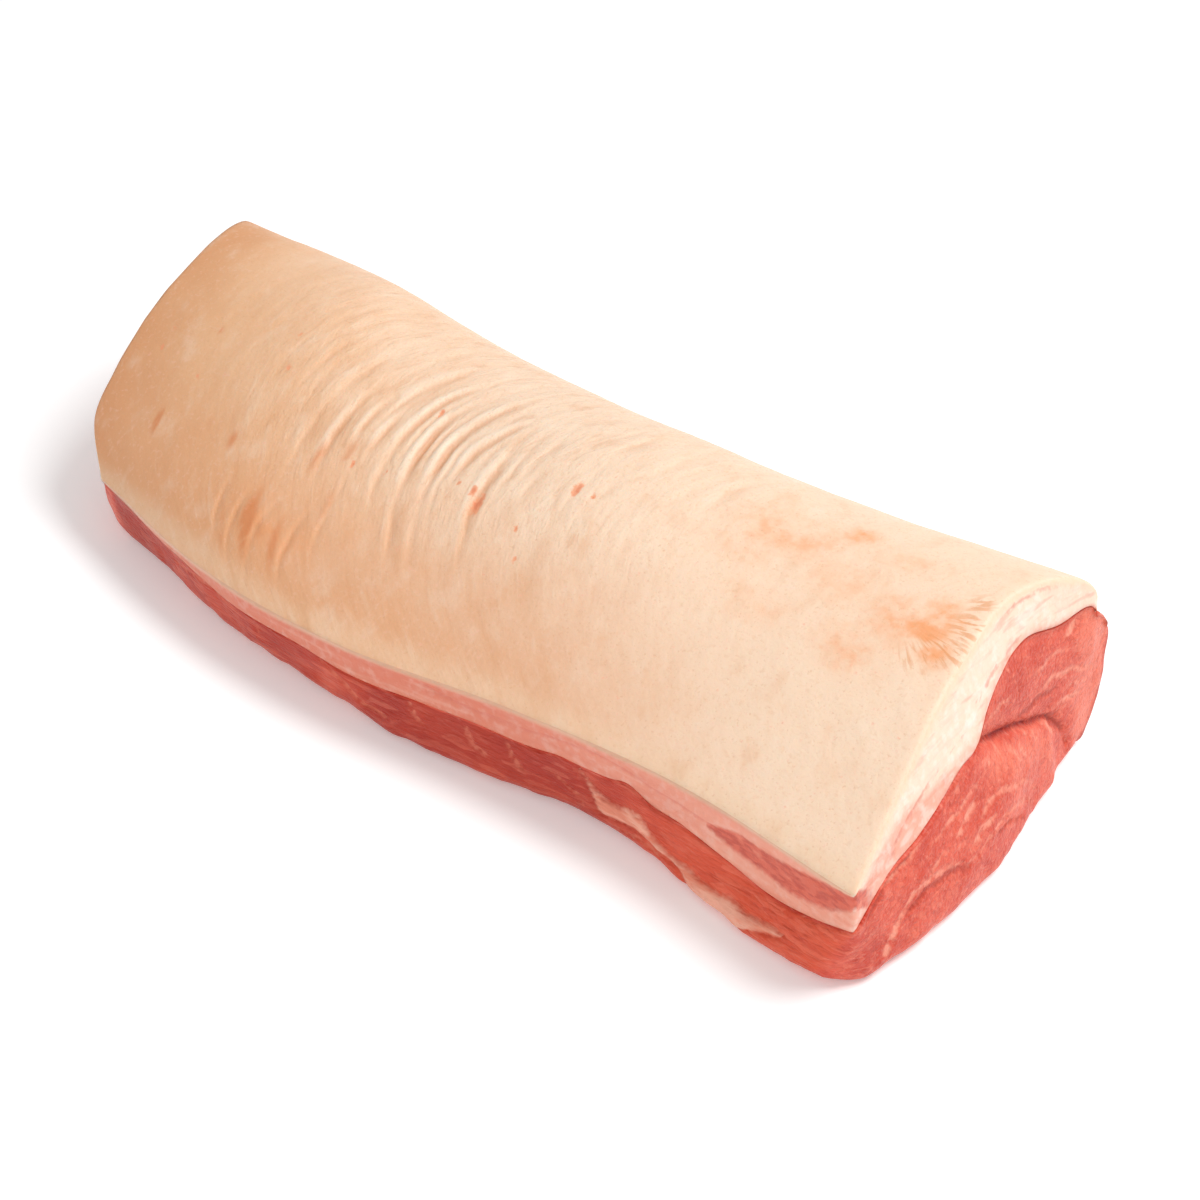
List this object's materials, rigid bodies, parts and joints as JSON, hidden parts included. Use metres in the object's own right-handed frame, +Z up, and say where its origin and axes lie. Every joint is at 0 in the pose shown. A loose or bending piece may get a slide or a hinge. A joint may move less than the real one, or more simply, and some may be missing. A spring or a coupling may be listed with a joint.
{
  "type": "rind-on pork loin joint",
  "caption": "Long arched raw pork loin joint, with pale folded rind and back fat over red lean, cut straight across at each end.",
  "frame": {"origin": "on the table, under the middle of the joint's bounding box", "axes": "+X along the loin towards the cut end with the deeper front edge, -Y to the belly side, +Z up"},
  "size_m": [0.494, 0.1979, 0.0986],
  "materials": {
    "rind_and_fat": "soft pale pig rind, peach and cream, faintly waxy, over creamy back fat",
    "loin_meat": "moist raw lean pork, salmon red with pale fat seams"
  },
  "bodies": {
    "root": {"rind_and_fat": "rind_and_fat", "loin_meat": "loin_meat"}
  },
  "joints": []
}
